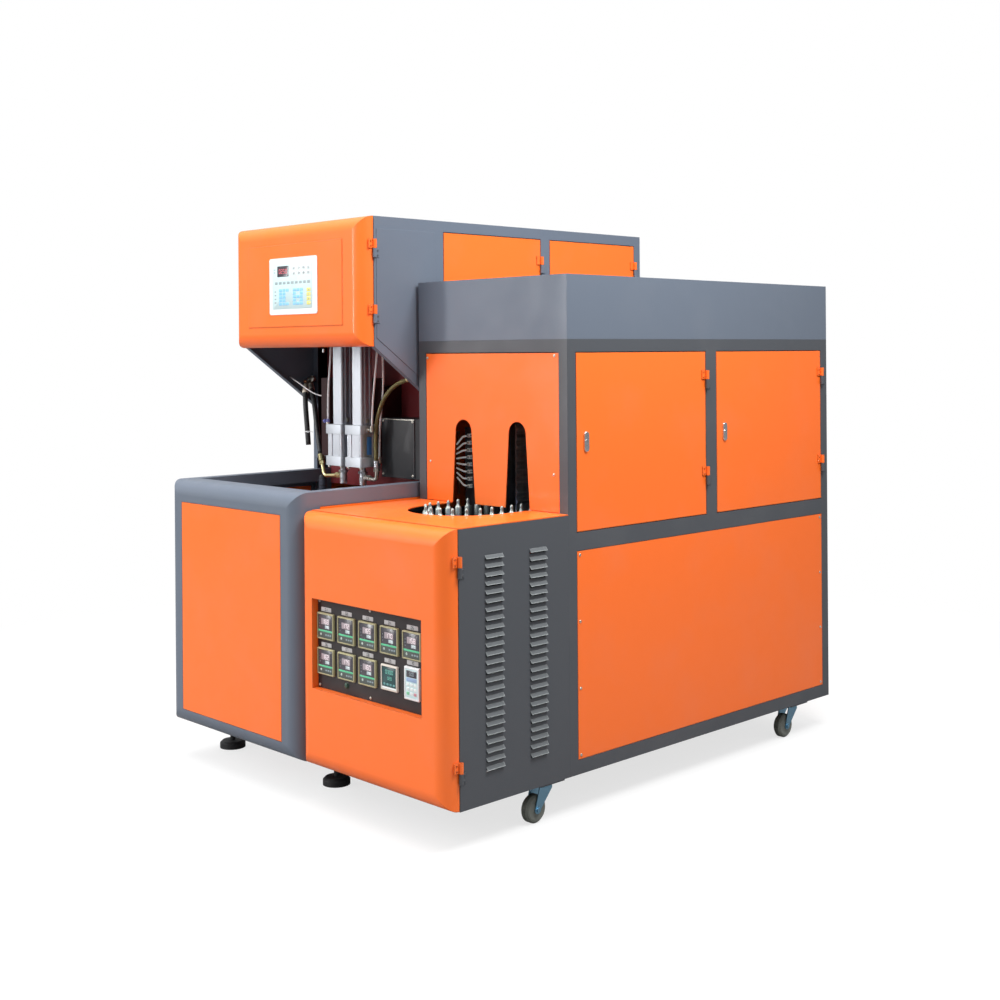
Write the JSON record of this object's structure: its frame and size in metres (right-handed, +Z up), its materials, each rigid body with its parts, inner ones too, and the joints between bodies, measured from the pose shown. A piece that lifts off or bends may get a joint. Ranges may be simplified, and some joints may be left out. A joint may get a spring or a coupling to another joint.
{
  "type": "blow moulding machine",
  "caption": "Semi-automatic bottle blow moulding machine: orange and grey blow station with cylinders and clamp, beside an infrared preform heater on castors.",
  "frame": {"origin": "middle of the footprint on the floor, midway between the outer side faces", "axes": "+X to the operator's right, +Y from the front to the back, +Z up"},
  "size_m": [1.307, 1.699, 1.648],
  "materials": {
    "orange_paint": "gloss powder coat",
    "grey_paint": "textured powder coat",
    "black_paint": "satin black",
    "keypad_film": "printed keypad film",
    "zinc_sheet": "zinc plated steel",
    "blue_zinc": "blue zinc plated",
    "bright_steel": "ground bright steel",
    "aluminium": "anodised or milled aluminium",
    "black_rubber": "matte black rubber",
    "braided_hose": "metal-braided hose",
    "clear_tube": "clear polyurethane",
    "black_plastic": "black plastic"
  },
  "bodies": {
    "machine": {"blower_frame": "grey_paint", "blower_front_panel": "orange_paint", "blower_side_panels": "orange_paint", "head_shell": "grey_paint", "blower_back_panel": "orange_paint", "column_front_panel": "orange_paint", "controller_box": "black_paint", "right_column_doors": "orange_paint", "cylinder_carrier": "zinc_sheet", "sealing_cylinders": "aluminium", "stretch_cylinders": "aluminium", "blow_hose_left": "black_rubber", "blow_hose_right": "braided_hose", "air_tubes": "clear_tube", "cable_conduit": "black_rubber", "hose_fittings": "bright_steel", "blow_air_supply": "black_paint", "clamp_frame": "bright_steel", "levelling_feet": "black_rubber", "heater_frame": "grey_paint", "heater_hood": "grey_paint", "louvred_side_left": "grey_paint", "louvred_side_right": "grey_paint", "heater_deck": "orange_paint", "slot_panel": "orange_paint", "electrical_panel": "zinc_sheet", "heater_side_panels": "orange_paint", "heater_back_panel": "orange_paint", "preform_chain": "bright_steel", "chain_gearmotor": "aluminium", "lamp_banks": "aluminium", "reflectors": "zinc_sheet"},
    "head_door": {"head_door": "orange_paint", "control_keypad": "keypad_film"},
    "left_column_door_front": {"left_column_door_front": "orange_paint"},
    "left_column_door_rear": {"left_column_door_rear": "orange_paint"},
    "blow_nozzle_left": {"blow_nozzle_left": "bright_steel"},
    "blow_nozzle_right": {"blow_nozzle_right": "bright_steel"},
    "stretch_rod_left": {"stretch_rod_left": "bright_steel"},
    "stretch_rod_right": {"stretch_rod_right": "bright_steel"},
    "front_platen": {"front_platen": "bright_steel", "mould_front_half": "aluminium"},
    "rear_platen": {"rear_platen": "bright_steel", "mould_rear_half": "aluminium"},
    "heater_front_door": {"heater_front_door": "orange_paint", "control_plate": "black_paint", "control_instruments": "black_plastic"},
    "oven_door_front": {"oven_door_front": "orange_paint"},
    "oven_door_rear": {"oven_door_rear": "orange_paint"},
    "lock_cam_front": {"lock_cam_front": "bright_steel"},
    "lock_cam_rear": {"lock_cam_rear": "bright_steel"},
    "exhaust_fan": {"exhaust_fan": "black_paint"},
    "castor_front_left": {"castor_fork_front_left": "blue_zinc"},
    "wheel_front_left": {"castor_wheel_front_left": "black_rubber"},
    "castor_front_right": {"castor_fork_front_right": "blue_zinc"},
    "wheel_front_right": {"castor_wheel_front_right": "black_rubber"},
    "castor_rear_left": {"castor_fork_rear_left": "blue_zinc"},
    "wheel_rear_left": {"castor_wheel_rear_left": "black_rubber"},
    "castor_rear_right": {"castor_fork_rear_right": "blue_zinc"},
    "wheel_rear_right": {"castor_wheel_rear_right": "black_rubber"}
  },
  "joints": [
    {"name": "head_door_hinge", "type": "hinge", "parent": "machine", "child": "head_door", "pos_m": [0.0285, -0.5635, 1.457], "axis": [0, 0, 1], "range_deg": [0, 110]},
    {"name": "left_column_door_front_hinge", "type": "hinge", "parent": "machine", "child": "left_column_door_front", "pos_m": [-0.6475, 0.1365, 1.2565], "axis": [0, 0, -1], "range_deg": [0, 110]},
    {"name": "left_column_door_rear_hinge", "type": "hinge", "parent": "machine", "child": "left_column_door_rear", "pos_m": [-0.6475, 0.6055, 1.2565], "axis": [0, 0, -1], "range_deg": [0, 110]},
    {"name": "nozzle_left_stroke", "type": "slide", "parent": "machine", "child": "blow_nozzle_left", "axis": [0, 0, -1], "range_m": [0, 0.038], "deforming": ["blow_hose_left"]},
    {"name": "nozzle_right_stroke", "type": "slide", "parent": "machine", "child": "blow_nozzle_right", "axis": [0, 0, -1], "range_m": [0, 0.038], "deforming": ["blow_hose_right"]},
    {"name": "stretch_left_stroke", "type": "slide", "parent": "machine", "child": "stretch_rod_left", "axis": [0, 0, -1], "range_m": [0, 0.22]},
    {"name": "stretch_right_stroke", "type": "slide", "parent": "machine", "child": "stretch_rod_right", "axis": [0, 0, -1], "range_m": [0, 0.22]},
    {"name": "front_platen_slide", "type": "slide", "parent": "machine", "child": "front_platen", "axis": [0, 1, 0], "range_m": [0, 0.0798]},
    {"name": "rear_platen_slide", "type": "slide", "parent": "machine", "child": "rear_platen", "axis": [0, -1, 0], "range_m": [0, 0.0798]},
    {"name": "heater_front_door_hinge", "type": "hinge", "parent": "machine", "child": "heater_front_door", "pos_m": [0.6475, -0.8035, 0.4595], "axis": [0, 0, 1], "range_deg": [0, 110]},
    {"name": "oven_door_front_hinge", "type": "hinge", "parent": "machine", "child": "oven_door_front", "pos_m": [0.6475, 0.1995, 1.0025], "axis": [0, 0, 1], "range_deg": [0, 110]},
    {"name": "oven_door_rear_hinge", "type": "hinge", "parent": "machine", "child": "oven_door_rear", "pos_m": [0.6475, 0.8135, 1.0025], "axis": [0, 0, 1], "range_deg": [0, 110]},
    {"name": "lock_cam_front_turn", "type": "hinge", "parent": "oven_door_front", "child": "lock_cam_front", "pos_m": [0.61, -0.3305, 1.0025], "axis": [1, 0, 0], "range_deg": [0, 90]},
    {"name": "lock_cam_rear_turn", "type": "hinge", "parent": "oven_door_rear", "child": "lock_cam_rear", "pos_m": [0.61, 0.2905, 1.0025], "axis": [1, 0, 0], "range_deg": [0, 90]},
    {"name": "exhaust_fan_spin", "type": "hinge", "parent": "machine", "child": "exhaust_fan", "pos_m": [0.3385, 0.2205, 1.416], "axis": [0, 0, 1], "continuous": true},
    {"name": "castor_front_left_swivel", "type": "hinge", "parent": "machine", "child": "castor_front_left", "pos_m": [0.081, -0.4675, 0.104], "axis": [0, 0, 1], "continuous": true},
    {"name": "castor_front_right_swivel", "type": "hinge", "parent": "machine", "child": "castor_front_right", "pos_m": [0.596, -0.4675, 0.104], "axis": [0, 0, 1], "continuous": true},
    {"name": "castor_rear_left_swivel", "type": "hinge", "parent": "machine", "child": "castor_rear_left", "pos_m": [0.081, 0.6825, 0.104], "axis": [0, 0, 1], "continuous": true},
    {"name": "castor_rear_right_swivel", "type": "hinge", "parent": "machine", "child": "castor_rear_right", "pos_m": [0.596, 0.6825, 0.104], "axis": [0, 0, 1], "continuous": true},
    {"name": "wheel_front_left_spin", "type": "hinge", "parent": "castor_front_left", "child": "wheel_front_left", "pos_m": [0.081, -0.4995, 0.0375], "axis": [1, 0, 0], "continuous": true},
    {"name": "wheel_front_right_spin", "type": "hinge", "parent": "castor_front_right", "child": "wheel_front_right", "pos_m": [0.596, -0.4995, 0.0375], "axis": [1, 0, 0], "continuous": true},
    {"name": "wheel_rear_left_spin", "type": "hinge", "parent": "castor_rear_left", "child": "wheel_rear_left", "pos_m": [0.081, 0.6505, 0.0375], "axis": [1, 0, 0], "continuous": true},
    {"name": "wheel_rear_right_spin", "type": "hinge", "parent": "castor_rear_right", "child": "wheel_rear_right", "pos_m": [0.596, 0.6505, 0.0375], "axis": [1, 0, 0], "continuous": true}
  ],
  "couplings": [
    {"joint": "rear_platen_slide", "follows": "front_platen_slide", "ratio": 1}
  ]
}
